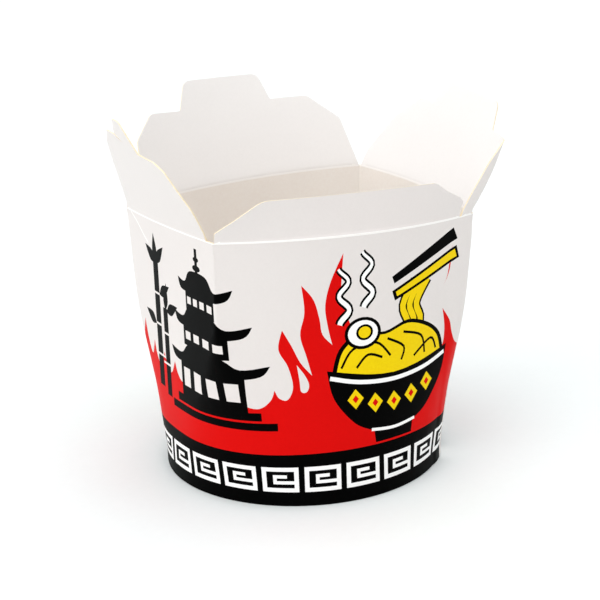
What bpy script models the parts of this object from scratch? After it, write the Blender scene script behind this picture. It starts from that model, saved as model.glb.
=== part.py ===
"""Open paperboard takeaway box: round base, square mouth and four hinged top flaps.

The sidewall is one sheet that runs from a circle at the base to a bulged rectangle at
the rim. Every straight line of the sheet joins the two points, one on the base circle
and one on the rim, that share an outward direction, so the sheet bends but never
stretches. The flaps rise from the rim's creases and lean outward.
"""
from math import asin, cos, degrees, hypot, pi, radians, sin, tan

import bpy
import numpy as np
from mathutils import Vector
from mathutils.geometry import delaunay_2d_cdt

MM = 0.001

# The board, and the gap kept between two pieces that touch.
BOARD = 0.5 * MM
GAP = 0.3 * MM

# The sidewall's inner face: base circle, rim rectangle and height of the rim's corners.
BASE_RADIUS = 49.5 * MM
RIM_WIDTH = 95.2 * MM
RIM_DEPTH = 78.0 * MM
WALL_HEIGHT = 92.0 * MM
RIM_TWIST = 1.8 * MM
BULGES = {"front": 9.9 * MM, "right": 4.9 * MM, "back": 9.1 * MM, "left": 1.4 * MM}

# The base ring: the sidewall's lower edge is turned in and up round the disc's skirt.
RING_HEIGHT = 6.0 * MM
DISC_HEIGHT = 5.0 * MM
TURN_HEIGHT = 4.5 * MM
RING_EDGE = 0.3 * MM

# The side seam: the outer end of the sheet lies over the inner end and stops here.
SEAM_ANGLE = -36.0
SEAM_LAP = 11.0
SEAM_RAMP = 3.0
SEAM_STEP = 0.12

# Fineness of the sheets.
ARC_STEPS = 14
FAN_STEPS = 7
WALL_LEVELS = 4
FLAP_GRID = 6.5 * MM
FOOT_STEPS = 60
FILLET_STEPS = 4

# Where a flap's foot starts above its crease, and how far it keeps from the crease's ends.
FOOT_LIFT = 0.6 * MM
FOOT_TRIM = 1.7 * MM
CORNER_WRAP = 7.2 * MM
WRAP_SMOOTHING = 5.0 * MM

SIDES = ("front", "right", "back", "left")
FACING = {"front": -90.0, "right": 0.0, "back": 90.0, "left": 180.0}

WHITE_BOARD = ((0.90, 0.88, 0.86, 1.0), 0.45)
BASE_BOARD = ((0.86, 0.83, 0.79, 1.0), 0.55)


class Side:
    """One bulged side of the rim, as an arc over the chord between two corners."""

    def __init__(self, name):
        runs_along_x = name in ("front", "back")
        self.chord = RIM_WIDTH if runs_along_x else RIM_DEPTH
        self.reach = (RIM_DEPTH if runs_along_x else RIM_WIDTH) / 2
        self.bulge = BULGES[name]
        self.facing = radians(FACING[name])
        self.radius = (self.chord ** 2 / 4 + self.bulge ** 2) / (2 * self.bulge)
        self.half_angle = asin(self.chord / 2 / self.radius)
        self.half_length = self.radius * self.half_angle
        self.out = np.array([cos(self.facing), sin(self.facing), 0.0])
        self.along = np.array([-sin(self.facing), cos(self.facing), 0.0])
        rise = RIM_TWIST if runs_along_x else -RIM_TWIST
        self.first_height = WALL_HEIGHT + rise
        self.last_height = WALL_HEIGHT - rise

    def height(self, offset):
        """Crease height at a distance along the chord from its middle."""
        share = offset / self.chord + 0.5
        return self.first_height + (self.last_height - self.first_height) * share

    def point(self, length):
        """Rim point at a length of arc from the side's middle."""
        turn = length / self.radius
        offset = self.radius * sin(turn)
        reach = self.reach + self.bulge - self.radius * (1 - cos(turn))
        place = self.along * offset + self.out * reach
        return place + np.array([0.0, 0.0, self.height(offset)])


RIM = {name: Side(name) for name in SIDES}


def directions():
    """Outward directions round the box, each with its rim point, in one turn."""
    stations = []
    for index, name in enumerate(SIDES):
        side = RIM[name]
        following = RIM[SIDES[(index + 1) % len(SIDES)]]
        for turn in np.linspace(-side.half_angle, side.half_angle, ARC_STEPS):
            stations.append((side.facing + turn, side.point(side.radius * turn)))
        corner = side.point(side.half_length)
        fan_start = side.facing + side.half_angle
        fan_end = following.facing - following.half_angle
        if fan_end < fan_start:
            fan_end += 2 * pi
        for turn in np.linspace(fan_start, fan_end, FAN_STEPS + 1)[1:-1]:
            stations.append((turn, corner))
    return stations


def with_seam(stations):
    """The stations with extra ones added where the seam's lap starts and ends."""
    start = radians(FACING["front"]) - RIM["front"].half_angle
    extra = [SEAM_ANGLE - SEAM_LAP - SEAM_RAMP, SEAM_ANGLE - SEAM_LAP]
    extra += [SEAM_ANGLE - SEAM_STEP, SEAM_ANGLE]
    angles = np.array([(angle - start) % (2 * pi) for angle, _ in stations])
    points = np.array([point for _, point in stations])
    added = []
    for turn in np.radians(extra) - start:
        place = [np.interp(turn, angles, points[:, axis]) for axis in range(3)]
        added.append((turn + start, np.array(place)))
    joined = stations + added
    return sorted(joined, key=lambda station: (station[0] - start) % (2 * pi))


def skin(angle):
    """Thickness of board at a direction: two layers where the seam laps."""
    behind = (SEAM_ANGLE - SEAM_STEP / 2 - degrees(angle)) % 360
    if behind > SEAM_LAP + SEAM_RAMP:
        return BOARD
    lapped = min(1.0, (SEAM_LAP + SEAM_RAMP - behind) / SEAM_RAMP)
    return BOARD * (1 + lapped)


def ring_section(thickness):
    """Radius and height of the turned-in base ring, from the outer face to the inner."""
    outer = BASE_RADIUS + thickness
    turn_outer = BASE_RADIUS - 2 * GAP - BOARD
    turn_inner = turn_outer - BOARD
    return [
        (outer, RING_EDGE),
        (outer - RING_EDGE, 0.0),
        (turn_inner + RING_EDGE, 0.0),
        (turn_inner, RING_EDGE),
        (turn_inner, TURN_HEIGHT),
        (turn_outer, TURN_HEIGHT),
        (turn_outer, BOARD),
        (BASE_RADIUS, BOARD),
    ]


def wall_section(angle, rim_point):
    """Closed outline of the sidewall's cut at one direction."""
    out = np.array([cos(angle), sin(angle), 0.0])
    foot = out * BASE_RADIUS + np.array([0.0, 0.0, RING_HEIGHT])
    thickness = skin(angle)
    shares = np.linspace(1.0, 0.0, WALL_LEVELS)
    inner = [foot + (rim_point - foot) * share for share in shares]
    outline = [point + out * thickness for point in inner]
    for radius, height in ring_section(thickness):
        outline.append(out * radius + np.array([0.0, 0.0, height]))
    return outline + inner[::-1]


def new_object(name, vertices, faces, look):
    """Object with its own mesh and its own painted-board material."""
    mesh = bpy.data.meshes.new(name)
    mesh.from_pydata([tuple(vertex) for vertex in vertices], [], faces)
    mesh.update()
    colour, roughness = look
    material = bpy.data.materials.new(name)
    material.use_nodes = True
    shader = material.node_tree.nodes["Principled BSDF"]
    shader.inputs["Base Color"].default_value = colour
    shader.inputs["Roughness"].default_value = roughness
    shader.inputs["Metallic"].default_value = 0.0
    mesh.materials.append(material)
    thing = bpy.data.objects.new(name, mesh)
    bpy.context.scene.collection.objects.link(thing)
    return thing


def make_wall():
    """Sidewall with its lapped seam and turned-in lower edge."""
    stations = with_seam(directions())
    sections = [wall_section(angle, point) for angle, point in stations]
    across = len(sections[0])
    vertices = [point for section in sections for point in section]
    faces = []
    for i in range(len(sections)):
        here = i * across
        there = (i + 1) % len(sections) * across
        for j in range(across):
            k = (j + 1) % across
            faces.append((here + j, here + k, there + k, there + j))
    return new_object("wall", vertices, faces, WHITE_BOARD)


def make_base():
    """Base disc with the skirt that the sidewall's lower edge is turned round."""
    outer = BASE_RADIUS - GAP
    inner = outer - BOARD
    rings = [
        (outer, DISC_HEIGHT + BOARD),
        (outer, BOARD + GAP),
        (inner, BOARD + GAP),
        (inner, DISC_HEIGHT),
    ]
    angles = [angle for angle, _ in directions()]
    count = len(angles)
    vertices = [(r * cos(a), r * sin(a), z) for r, z in rings for a in angles]
    top = len(vertices)
    vertices += [(0.0, 0.0, DISC_HEIGHT + BOARD), (0.0, 0.0, DISC_HEIGHT)]
    faces = []
    for i in range(count):
        k = (i + 1) % count
        faces.append((top, i, k))
        for ring in range(len(rings) - 1):
            here = ring * count
            there = here + count
            faces.append((here + i, there + i, there + k, here + k))
        last = (len(rings) - 1) * count
        faces.append((top + 1, last + k, last + i))
    return new_object("base_disc", vertices, faces, BASE_BOARD)


class Flap:
    """A flap: a ruled sheet from its crease to a straighter, leaning top line."""

    def __init__(self, name, crease, length, lean, twist, top_bulge, outline):
        self.name = name
        self.side = RIM[name]
        self.length = length
        self.lean = lean
        self.twist = twist
        self.top_bulge = top_bulge
        self.outline = outline
        self.foot = self.measured_foot(crease)
        self.half = self.foot_lengths[-1] / 2
        middle = (self.foot[0] + self.foot[-1]) / 2
        self.centre = float(middle @ self.side.along)
        chord = np.linalg.norm(self.foot[-1] - self.foot[0])
        self.chord_share = chord / self.foot_lengths[-1]

    def measured_foot(self, crease):
        """Foot curve through the crease, evenly spaced, its sharp turn smoothed."""
        points = []
        for name, first, last in crease:
            points += [RIM[name].point(a) for a in np.linspace(first, last, FOOT_STEPS)]
        points = np.array(points)
        steps = np.linalg.norm(np.diff(points, axis=0), axis=1)
        lengths = np.concatenate([[0.0], np.cumsum(steps)])
        even = np.linspace(0.0, lengths[-1], 2 * FOOT_STEPS + 1)
        curve = np.array([np.interp(even, lengths, points[:, axis]) for axis in range(3)]).T
        if len(crease) > 1:
            curve = self.smoothed(curve, even)
        self.foot_lengths = even
        return curve

    @staticmethod
    def smoothed(curve, lengths):
        """Curve averaged over a window that closes towards its ends."""
        result = []
        for here in lengths:
            window = min(WRAP_SMOOTHING, here, lengths[-1] - here)
            near = np.linspace(here - window, here + window, 9)
            result.append([np.interp(near, lengths, curve[:, axis]).mean() for axis in range(3)])
        return np.array(result)

    def hinge(self):
        """Middle of the hinge line and its direction, from one crease end to the other."""
        chord = self.foot[-1] - self.foot[0]
        return (self.foot[0] + self.foot[-1]) / 2, chord / np.linalg.norm(chord)

    def point(self, x, y):
        """Place on the sheet, x along the crease from its middle and y up the flap."""
        reach = x + self.half
        foot = np.array([np.interp(reach, self.foot_lengths, self.foot[:, i]) for i in range(3)])
        share = x / self.half
        lean = radians(self.lean + self.twist * share)
        offset = self.centre + x * self.chord_share
        bulge = self.top_bulge * (1 - share ** 2)
        top = self.side.along * offset
        top = top + self.side.out * (self.side.reach + bulge + self.length * sin(lean))
        top = top + np.array([0.0, 0.0, self.side.height(offset) + self.length * cos(lean)])
        return foot + (top - foot) * (y / self.length)

    def normal(self, x, y):
        """Outward direction square to the sheet."""
        step = 0.2 * MM
        across = self.point(x + step, y) - self.point(x - step, y)
        up = self.point(x, y + step) - self.point(x, y - step)
        square = np.cross(across, up)
        return square / np.linalg.norm(square)


def rounded(corners):
    """Outline with its corners replaced by arcs; a corner is x, y and radius in mm."""
    outline = []
    count = len(corners)
    for i in range(count):
        corner = np.array(corners[i][:2])
        before = np.array(corners[i - 1][:2]) - corner
        after = np.array(corners[(i + 1) % count][:2]) - corner
        before = before / hypot(*before)
        after = after / hypot(*after)
        half = 0.5 * np.arccos(np.clip(before @ after, -1.0, 1.0))
        radius = corners[i][2]
        if radius == 0:
            outline.append(corner)
            continue
        start = corner + before * radius / tan(half)
        end = corner + after * radius / tan(half)
        towards = before + after
        centre = corner + towards / hypot(*towards) * radius / sin(half)
        for share in np.linspace(0.0, 1.0, FILLET_STEPS + 1):
            spoke = (start - centre) * (1 - share) + (end - centre) * share
            outline.append(centre + spoke / hypot(*spoke) * radius)
    return np.array(outline) * MM


def flap_corners(flap):
    """The flap's outline closed along its foot, clear of the crease's ends."""
    reach = flap.half - FOOT_TRIM
    lift = FOOT_LIFT / MM
    foot_end = (reach / MM, lift, 0)
    foot_start = (-reach / MM, lift, 0)
    return [foot_start] + flap.outline + [foot_end]


def grid_points(outline):
    """Points on a square grid over the outline, for the sheet to bend at."""
    low = outline.min(axis=0)
    high = outline.max(axis=0)
    columns = np.linspace(low[0], high[0], int((high[0] - low[0]) / FLAP_GRID) + 2)[1:-1]
    rows = np.linspace(low[1], high[1], int((high[1] - low[1]) / FLAP_GRID) + 2)[1:-1]
    clearance = FLAP_GRID / 4
    points = []
    for x in columns:
        for y in rows:
            if inside(outline, x, y) and edge_distance(outline, x, y) > clearance:
                points.append((x, y))
    return points


def inside(outline, x, y):
    """Whether a point lies within the outline."""
    crossings = 0
    for (x0, y0), (x1, y1) in zip(outline, np.roll(outline, -1, axis=0)):
        if (y0 > y) != (y1 > y) and x < x0 + (y - y0) * (x1 - x0) / (y1 - y0):
            crossings += 1
    return crossings % 2 == 1


def edge_distance(outline, x, y):
    """Distance from a point to the outline."""
    starts = outline
    runs = np.roll(outline, -1, axis=0) - outline
    reach = np.array([x, y]) - starts
    share = np.clip((reach * runs).sum(axis=1) / (runs ** 2).sum(axis=1), 0.0, 1.0)
    return np.linalg.norm(reach - runs * share[:, None], axis=1).min()


def split_foot(outline):
    """Outline with points added along its straight foot, so that it can bend."""
    points = list(outline)
    last, first = points[-1], points[0]
    count = int(np.linalg.norm(last - first) / FLAP_GRID)
    points += [last + (first - last) * k / count for k in range(1, count)]
    return np.array(points)


def make_flap(flap):
    """Closed sheet of board cut to the flap's outline and bent to its surface."""
    outline = split_foot(rounded(flap_corners(flap)))
    seeds = [Vector(point) for point in outline] + [Vector(p) for p in grid_points(outline)]
    border = [(i, (i + 1) % len(outline)) for i in range(len(outline))]
    flat, _, triangles, *_ = delaunay_2d_cdt(seeds, border, [], 1, 1e-9)
    triangles = [tuple(face) for face in triangles]
    count = len(flat)
    half = BOARD / 2
    outer = [flap.point(*p) + flap.normal(*p) * half for p in flat]
    inner = [flap.point(*p) - flap.normal(*p) * half for p in flat]
    faces = [tuple(face) for face in triangles]
    faces += [tuple(index + count for index in reversed(face)) for face in triangles]
    edges = {(face[i], face[(i + 1) % 3]) for face in triangles for i in range(3)}
    for start, end in edges:
        if (end, start) not in edges:
            faces.append((end, start, start + count, end + count))
    return new_object("flap_" + flap.name, outer + inner, faces, WHITE_BOARD)


FRONT_OUTLINE = [
    (-46.0, 3.2, 1.0),
    (-31.0, 13.9, 8.0),
    (33.4, 13.9, 5.0),
    (46.8, 5.0, 1.0),
]
RIGHT_OUTLINE = [
    (-36.2, 27.2, 2.0),
    (-24.4, 28.5, 1.0),
    (-20.2, 38.4, 4.0),
    (13.2, 40.2, 4.0),
    (18.2, 31.0, 1.0),
    (26.0, 31.2, 3.0),
    (36.0, 21.5, 3.0),
    (42.0, 7.0, 3.0),
]
BACK_OUTLINE = [
    (-44.6, 19.2, 3.0),
    (-33.6, 29.0, 3.0),
    (-19.0, 29.3, 1.0),
    (-15.6, 39.6, 3.5),
    (15.2, 40.7, 3.5),
    (18.8, 29.8, 1.0),
    (31.6, 30.9, 3.0),
    (39.6, 22.0, 4.0),
    (39.8, 14.0, 5.0),
]
LEFT_OUTLINE = [
    (-33.0, 20.0, 6.0),
    (-29.2, 27.5, 3.0),
    (-20.8, 33.0, 1.0),
    (-9.6, 33.2, 0.0),
    (-2.2, 31.1, 0.0),
    (-9.0, 33.6, 0.0),
    (-2.2, 39.8, 1.5),
    (5.0, 39.8, 2.5),
    (11.0, 30.2, 1.0),
    (25.5, 30.5, 3.0),
    (31.0, 25.8, 3.0),
    (36.6, 14.0, 4.0),
]


def flaps():
    """The four flaps; the right one's crease runs on round the front corner."""
    front, right, back, left = (RIM[name].half_length for name in SIDES)
    notch = front - CORNER_WRAP
    round_corner = [("front", notch, front), ("right", -right, right)]
    return [
        Flap("front", [("front", -front, notch)], 13.9 * MM, 20, 0, 3.0 * MM, FRONT_OUTLINE),
        Flap("right", round_corner, 40.2 * MM, 32, -2, 4.0 * MM, RIGHT_OUTLINE),
        Flap("back", [("back", -back, back)], 40.7 * MM, 20, 0, 9.1 * MM, BACK_OUTLINE),
        Flap("left", [("left", -left, left)], 39.8 * MM, 22, 5, 1.4 * MM, LEFT_OUTLINE),
    ]


def hang(thing, parent, place):
    """Hangs an object on a parent empty that stands at a place."""
    thing.parent = parent
    thing.matrix_parent_inverse.identity()
    thing.location = place


def new_empty(name, place):
    """Empty that carries pieces at a place."""
    carrier = bpy.data.objects.new(name, None)
    bpy.context.scene.collection.objects.link(carrier)
    carrier.location = place
    return carrier


def centre_on_origin(root, things):
    """Moves the box so that the origin is below the middle of its outer size."""
    bpy.context.view_layer.update()
    corners = [thing.matrix_world @ vertex.co for thing in things for vertex in thing.data.vertices]
    low = Vector(min(corner[axis] for corner in corners) for axis in range(3))
    high = Vector(max(corner[axis] for corner in corners) for axis in range(3))
    middle = (low + high) / 2
    root.location = (-middle.x, -middle.y, -low.z)
    bpy.context.view_layer.update()


def main():
    for leftover in list(bpy.data.objects):
        bpy.data.objects.remove(leftover)
    root = new_empty("kebab_box", (0.0, 0.0, 0.0))
    things = [make_wall(), make_base()]
    for thing in things:
        hang(thing, root, (0.0, 0.0, 0.0))
    for flap in flaps():
        place, _ = flap.hinge()
        axis = new_empty("hinge_" + flap.name, place)
        axis.parent = root
        thing = make_flap(flap)
        hang(thing, axis, -Vector(place))
        things.append(thing)
    for thing in things:
        thing.data.shade_smooth()
        thing.data.set_sharp_from_angle(angle=radians(30))
    centre_on_origin(root, things)


main()
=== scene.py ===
"""Looks of an open takeaway box: printed sidewall, four bent flaps and a small studio."""
from math import asin, atan2, cos, degrees, hypot, pi, radians, sin, tan

import bpy
import numpy as np
from mathutils import Matrix, Vector
from mathutils.geometry import delaunay_2d_cdt


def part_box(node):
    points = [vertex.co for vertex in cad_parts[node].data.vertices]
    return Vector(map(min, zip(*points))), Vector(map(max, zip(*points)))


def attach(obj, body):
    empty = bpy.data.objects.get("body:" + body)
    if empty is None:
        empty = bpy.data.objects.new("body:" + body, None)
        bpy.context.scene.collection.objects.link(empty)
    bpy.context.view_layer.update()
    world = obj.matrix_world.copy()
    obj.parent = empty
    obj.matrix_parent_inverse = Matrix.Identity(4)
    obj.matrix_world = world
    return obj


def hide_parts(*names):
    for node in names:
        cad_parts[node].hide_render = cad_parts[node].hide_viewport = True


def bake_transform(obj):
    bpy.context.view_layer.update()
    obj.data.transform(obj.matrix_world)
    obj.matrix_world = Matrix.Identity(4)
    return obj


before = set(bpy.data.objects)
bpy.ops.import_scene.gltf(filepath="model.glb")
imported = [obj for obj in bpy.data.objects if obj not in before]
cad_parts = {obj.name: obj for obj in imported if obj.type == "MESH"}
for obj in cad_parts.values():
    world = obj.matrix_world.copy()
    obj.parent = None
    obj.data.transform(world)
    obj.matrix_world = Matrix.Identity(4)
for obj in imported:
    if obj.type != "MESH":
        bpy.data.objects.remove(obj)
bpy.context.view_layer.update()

bl_info = {
    "name": "Takeaway Box",
    "version": (1, 0, 0),
    "blender": (4, 5, 0),
    "location": "View3D > Sidebar > Takeaway Box",
    "description": "Builds a printed round-base takeaway box with open flaps",
    "category": "Add Mesh",
}

MM = 0.001
BASE_LOW, BASE_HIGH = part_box("base_disc")
BOX_AXIS = np.array([(BASE_LOW.x + BASE_HIGH.x) / 2, (BASE_LOW.y + BASE_HIGH.y) / 2, 0.0]) / MM

# Every length below is in millimetres and every turn round the box in degrees, unless a
# name says otherwise. A turn of -90 faces the front, and turns grow counter-clockwise.

# The sidewall, the same sheet as the CAD one.
BASE_RADIUS = 49.5
RIM_WIDTH = 95.2
RIM_DEPTH = 78.0
WALL_HEIGHT = 92.0
RIM_TWIST = 1.8
BULGES = {"front": 9.9, "right": 4.9, "back": 9.1, "left": 1.4}
RING_HEIGHT = 6.0
TURN_HEIGHT = 4.5
RING_EDGE = 0.3
RING_GAP = 0.6
SIDES = ("front", "right", "back", "left")
FACING = {"front": -90.0, "right": 0.0, "back": 90.0, "left": 180.0}

# The seam: the outer end of the sheet laps over the inner end and stops at SEAM_TURN. The
# lap is pressed flat towards the rim.
SEAM_TURN = -36.0
SEAM_LAP = 11.0
SEAM_RAMP = 3.0
LAP_FADE = 8.0
SEAM_MARGIN = 5.5

# How far up the wall each corner, named for the side before it, keeps a pressed fold.
FOLD_STRENGTH = {"front": 0.8, "right": 0.9, "back": 0.8, "left": 0.92}
FOLD_START = 0.22
FOLD_END = 0.72
FOLD_LOW = 38.0
FOLD_POINTS = 16
SCORE_WIDTH = 0.8
SCORE_HEIGHT = 0.12
SCORE_DROP = 0.05

# Fineness of the meshes.
ARC_STEPS = 36
FAN_STEPS = 20
WALL_COLUMN = 2.5
WALL_ROW = 3.6
FLAP_GRID = 2.6
FOOT_STEPS = 60
FILLET_STEPS = 6
CURVE_STEPS = 5
WALL_CLEARANCE = 0.8
WALL_WELD = 1e-4
FLAP_WELD = 1e-6

# How far to each side a face's direction is measured, and how far in from a corner.
PROBE_TURN = 0.12
PROBE_HEIGHT = 0.4
PROBE_REACH = 0.2
PROBE_LOWEST = 0.3
PROBE_INSET = 0.1

# Edges that turn further than this are drawn sharp.
WALL_SHARP = radians(35)
FLAP_SHARP = radians(50)

# Flaps.
CORNER_WRAP = 7.2
WRAP_SMOOTHING = 1.0
SMOOTHING_POINTS = 9
BEAD_WIDTH = 1.3
BEAD_HEIGHT = 0.2
# Width of the painted highlight strip along each crease, brighter where the bead would catch the
# light.
CREASE_HIGHLIGHT_WIDTH = 0.35
CREASE_ROWS = (CREASE_HIGHLIGHT_WIDTH, 0.65, 0.95)
EDGE_CLEARANCE = 0.7
CREASE_CLEARANCE = 0.2

# The bend of the right flap, which keeps the corner's turn up to its tip.
BEND_WIDTH = 1.5
BEND_TURN = radians(60)
BEND_SWELL = 0.8
BEND_REACH = 6.0
BEND_HEIGHT = 26.0
BEND_COLUMNS = (-2.4, -1.2, 0.0, 1.2, 2.4)
BEND_CLEARANCE = FLAP_GRID + 0.6

# Size of the faint clouds in every board and ink, and how much its roughness varies.
CLOUD_MM = 14.0
ROUGHNESS_RANGE = 0.05


def linear(hex_colour):
    """Linear RGBA of an sRGB hex colour."""
    channels = [int(hex_colour[i:i + 2], 16) / 255 for i in (1, 3, 5)]
    curve = [c / 12.92 if c <= 0.04045 else ((c + 0.055) / 1.055) ** 2.4 for c in channels]
    return (*curve, 1.0)


def add_node(tree, kind, settings=None, inputs=None, links=None):
    """Adds a node with its settings, input values and incoming links."""
    node = tree.nodes.new(kind)
    for name, value in (settings or {}).items():
        setattr(node, name, value)
    for name, value in (inputs or {}).items():
        node.inputs[name].default_value = value
    for name, socket in (links or {}).items():
        tree.links.new(socket, node.inputs[name])
    return node


def sheet_material(name, colour, shade, roughness, grain_mm, bump_mm, gleam=0.5):
    """Board or ink: a mottled colour, a grain of that size and a fine relief."""
    material = bpy.data.materials.new(name)
    material.use_nodes = True
    tree = material.node_tree
    tree.nodes.clear()
    where = add_node(tree, "ShaderNodeTexCoord").outputs["Object"]
    cloud = add_node(
        tree, "ShaderNodeTexNoise",
        inputs={"Scale": 1 / (CLOUD_MM * MM), "Detail": 3.0, "Roughness": 0.6},
        links={"Vector": where},
    )
    grain = add_node(
        tree, "ShaderNodeTexNoise",
        inputs={"Scale": 1 / (grain_mm * MM), "Detail": 2.0, "Roughness": 0.7},
        links={"Vector": where},
    )
    mix = add_node(
        tree, "ShaderNodeMath", {"operation": "MULTIPLY_ADD"}, {1: 0.5},
        {0: cloud.outputs["Fac"], 2: grain.outputs["Fac"]},
    )
    tone = add_node(
        tree, "ShaderNodeMapRange",
        inputs={"From Min": 0.45, "From Max": 1.05},
        links={"Value": mix.outputs[0]},
    )
    paint = add_node(
        tree, "ShaderNodeMix", {"data_type": "RGBA"},
        links={"Factor": tone.outputs["Result"]},
    )
    paint.inputs["A"].default_value = linear(shade)
    paint.inputs["B"].default_value = linear(colour)
    gloss = add_node(
        tree, "ShaderNodeMapRange",
        inputs={"To Min": roughness - ROUGHNESS_RANGE, "To Max": roughness + ROUGHNESS_RANGE},
        links={"Value": grain.outputs["Fac"]},
    )
    relief = add_node(
        tree, "ShaderNodeBump",
        inputs={"Strength": 0.5, "Distance": bump_mm * MM},
        links={"Height": grain.outputs["Fac"]},
    )
    shader = add_node(
        tree, "ShaderNodeBsdfPrincipled",
        inputs={"IOR": 1.5, "Specular IOR Level": gleam},
        links={
            "Base Color": paint.outputs["Result"],
            "Roughness": gloss.outputs["Result"],
            "Normal": relief.outputs["Normal"],
        },
    )
    add_node(tree, "ShaderNodeOutputMaterial", links={"Surface": shader.outputs["BSDF"]})
    return material


class Side:
    """One bulged side of the rim, as an arc over the chord between two corners."""

    def __init__(self, name):
        runs_along_x = name in ("front", "back")
        self.chord = RIM_WIDTH if runs_along_x else RIM_DEPTH
        self.reach = (RIM_DEPTH if runs_along_x else RIM_WIDTH) / 2
        self.bulge = BULGES[name]
        self.facing = radians(FACING[name])
        self.radius = (self.chord ** 2 / 4 + self.bulge ** 2) / (2 * self.bulge)
        self.half_angle = asin(self.chord / 2 / self.radius)
        self.half_length = self.radius * self.half_angle
        self.out = np.array([cos(self.facing), sin(self.facing), 0.0])
        self.along = np.array([-sin(self.facing), cos(self.facing), 0.0])
        rise = RIM_TWIST if runs_along_x else -RIM_TWIST
        self.first_height = WALL_HEIGHT + rise
        self.last_height = WALL_HEIGHT - rise

    def height(self, offset):
        """Crease height at a distance along the chord from its middle."""
        share = offset / self.chord + 0.5
        return self.first_height + (self.last_height - self.first_height) * share

    def point(self, length):
        """Rim point at a length of arc from the side's middle."""
        turn = length / self.radius
        offset = self.radius * sin(turn)
        reach = self.reach + self.bulge - self.radius * (1 - cos(turn))
        place = self.along * offset + self.out * reach
        return place + np.array([0.0, 0.0, self.height(offset)])


RIM = {name: Side(name) for name in SIDES}


def corner_turns(name):
    """Outward directions, in radians, where the corner after a side starts and ends."""
    following = RIM[SIDES[(SIDES.index(name) + 1) % len(SIDES)]]
    start = RIM[name].facing + RIM[name].half_angle
    end = following.facing - following.half_angle
    return start, end + 2 * pi if end < start else end


class Sidewall:
    """The sheet from the base circle to the rim, by turn round the axis and height."""

    def __init__(self, board):
        self.board = board
        outs, rims, middles, spreads, folds = [], [], [], [], []
        for name, side in RIM.items():
            for turn in np.linspace(-side.half_angle, side.half_angle, ARC_STEPS):
                outs.append(side.facing + turn)
                rims.append(side.point(side.radius * turn))
                middles.append(0.0)
                spreads.append(0.0)
                folds.append(0.0)
            start, end = corner_turns(name)
            for turn in np.linspace(start, end, FAN_STEPS + 1):
                outs.append(turn)
                rims.append(side.point(side.half_length))
                middles.append((start + end) / 2)
                spreads.append((end - start) / 2)
                folds.append(FOLD_STRENGTH[name])
        self.out = np.array([[cos(a), sin(a), 0.0] for a in outs])
        self.rim = np.array(rims)
        self.middle = np.array([[cos(a), sin(a), 0.0] for a in middles])
        self.spread = np.cos(spreads)[:, None]
        self.fold = np.array(folds)[:, None]
        self.known = {}

    def contour(self, height):
        """Turns of the outer face and both faces' points at a nominal height."""
        height = round(height, 2)
        if height not in self.known:
            self.known[height] = self.made_contour(height)
        return self.known[height]

    def made_contour(self, height):
        """Contour where each corner's arc is tightened towards its pressed fold."""
        share = max(0.0, (height - RING_HEIGHT) / (WALL_HEIGHT - RING_HEIGHT))
        foot = self.out * BASE_RADIUS + np.array([0.0, 0.0, min(height, RING_HEIGHT)])
        inner = foot * (1 - share) + self.rim * share
        rise = np.clip((share - FOLD_START) / (FOLD_END - FOLD_START), 0.0, 1.0)
        loose = BASE_RADIUS * (1 - share) * self.fold * rise * rise * (3 - 2 * rise)
        inner = inner + self.middle * loose / self.spread - self.out * loose
        outer = inner + self.out * self.board
        turns = np.degrees(np.unwrap(np.arctan2(outer[:, 1], outer[:, 0])))
        return turns, outer, inner

    def layers(self, turn):
        """Layers of board at a turn: two where the seam laps."""
        behind = 360.0 - (turn - SEAM_TURN) if turn > SEAM_TURN + 1 else 360.0
        lapped = (SEAM_LAP + SEAM_RAMP - behind) / SEAM_RAMP
        return 1 + min(1.0, max(0.0, lapped))

    def place(self, turn, height, outside=True):
        """Point of the outer or inner face, turn counted on from the seam."""
        turns, outer, inner = self.contour(height)
        wrapped = (turn - turns[0]) % 360.0
        known = np.append(turns - turns[0], 360.0)
        face = outer if outside else inner
        face = np.vstack([face, face[:1]])
        point = np.array([np.interp(wrapped, known, face[:, axis]) for axis in range(3)])
        if not outside:
            return point
        level = np.array([point[0], point[1], 0.0])
        away = level / np.linalg.norm(level)
        pressed = min(1.0, (WALL_HEIGHT - height) / LAP_FADE)
        extra = (self.layers(turn) - 1) * self.board * pressed
        return point + away * (extra + score_relief(turn, height))

    def normal(self, turn, height):
        """Outward direction square to the outer face."""
        low = max(height - PROBE_HEIGHT, 0.0)
        high = min(height + PROBE_HEIGHT, WALL_HEIGHT)
        across = self.place(turn + PROBE_TURN, height) - self.place(turn - PROBE_TURN, height)
        up = self.place(turn, high) - self.place(turn, low)
        square = np.cross(across, up)
        return square / np.linalg.norm(square)


# ---------------------------------------------------------------- the print

DEGREE_MM = pi * BASE_RADIUS / 180


def flat(points):
    """Print points of turn and height as flat millimetres counted from the seam."""
    return np.array([((turn - SEAM_TURN) * DEGREE_MM, height) for turn, height in points])


def turn_of(x):
    """Turn round the box at a flat distance from the seam."""
    return x / DEGREE_MM + SEAM_TURN


def divided(outline, longest):
    """Closed outline with its long straight stretches split."""
    points = []
    for start, end in zip(outline, np.roll(outline, -1, axis=0)):
        count = max(1, int(np.linalg.norm(end - start) / longest))
        points += [start + (end - start) * k / count for k in range(count)]
    return np.array(points)


def around(points, turn):
    """The same outline further round the box."""
    return [(p[0] + turn, *p[1:]) for p in points]


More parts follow.
